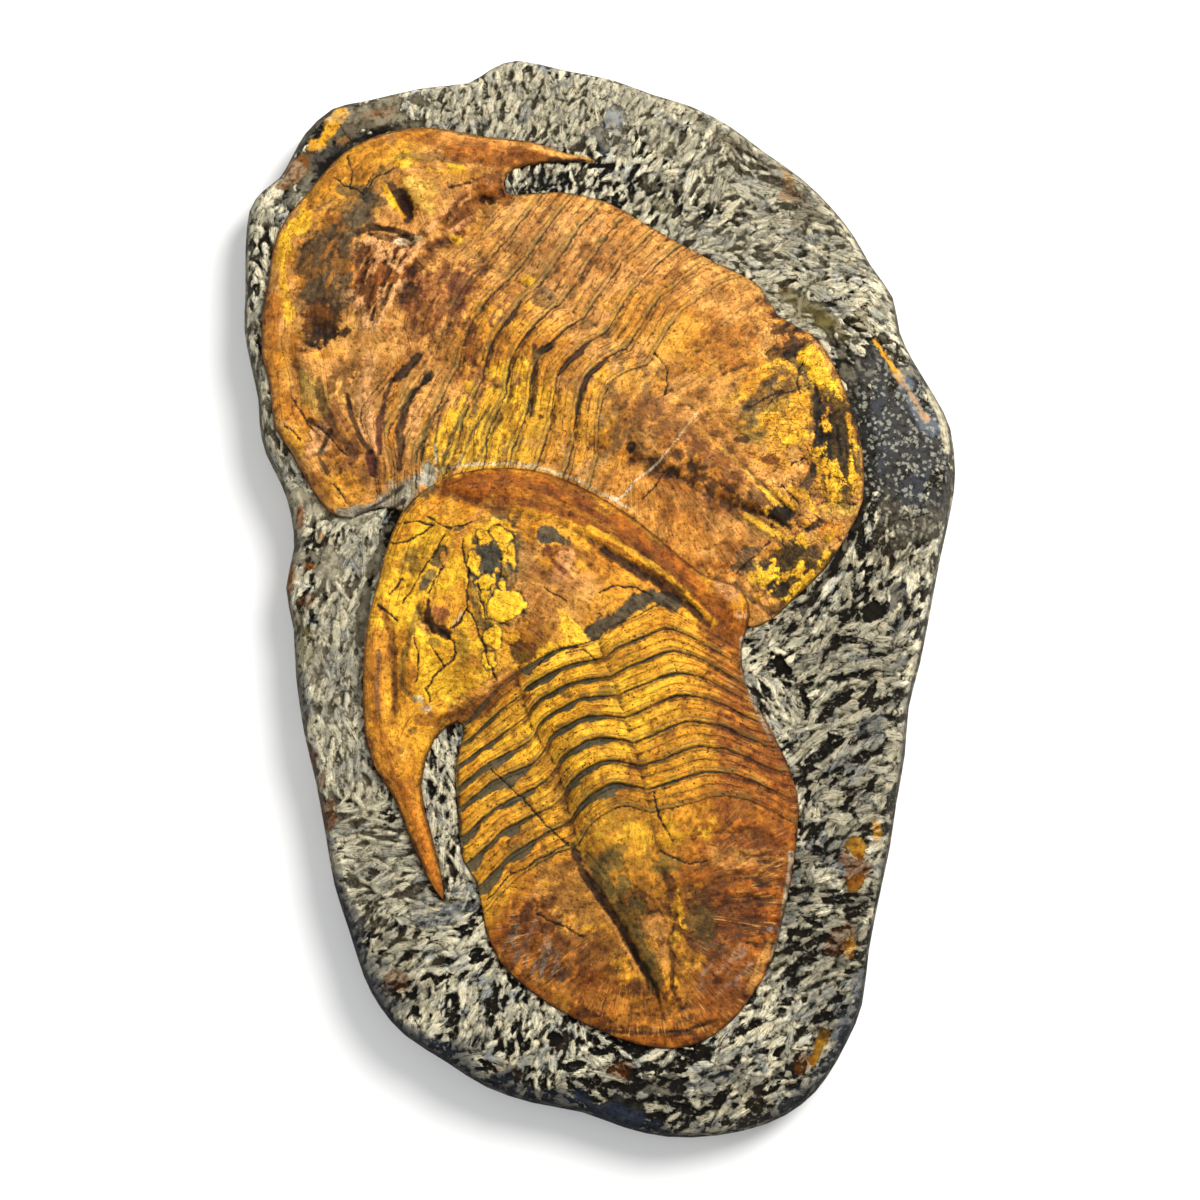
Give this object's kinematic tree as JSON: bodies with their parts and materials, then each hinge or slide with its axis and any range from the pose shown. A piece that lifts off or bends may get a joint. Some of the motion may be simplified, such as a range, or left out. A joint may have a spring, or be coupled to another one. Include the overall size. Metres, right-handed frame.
{
  "type": "trilobite fossil plate",
  "caption": "Irregular plate of dark chiselled rock with a flat back, carrying large golden brown trilobites in relief, one overlapping the other.",
  "frame": {"origin": "middle of the plate's box, at its flat back", "axes": "+Z out of the face, +Y up the plate along its length, +X to the right seen from the front"},
  "size_m": [0.2416, 0.367, 0.0411],
  "materials": {
    "matrix_rock": "matt grey limestone with pale chisel strokes",
    "upper_shell": "satin reddish to orange brown mineral shell",
    "lower_shell": "satin golden yellow to rusty brown mineral shell"
  },
  "bodies": {
    "root": {"matrix_slab": "matrix_rock", "upper_trilobite": "upper_shell", "lower_trilobite": "lower_shell"}
  },
  "joints": []
}
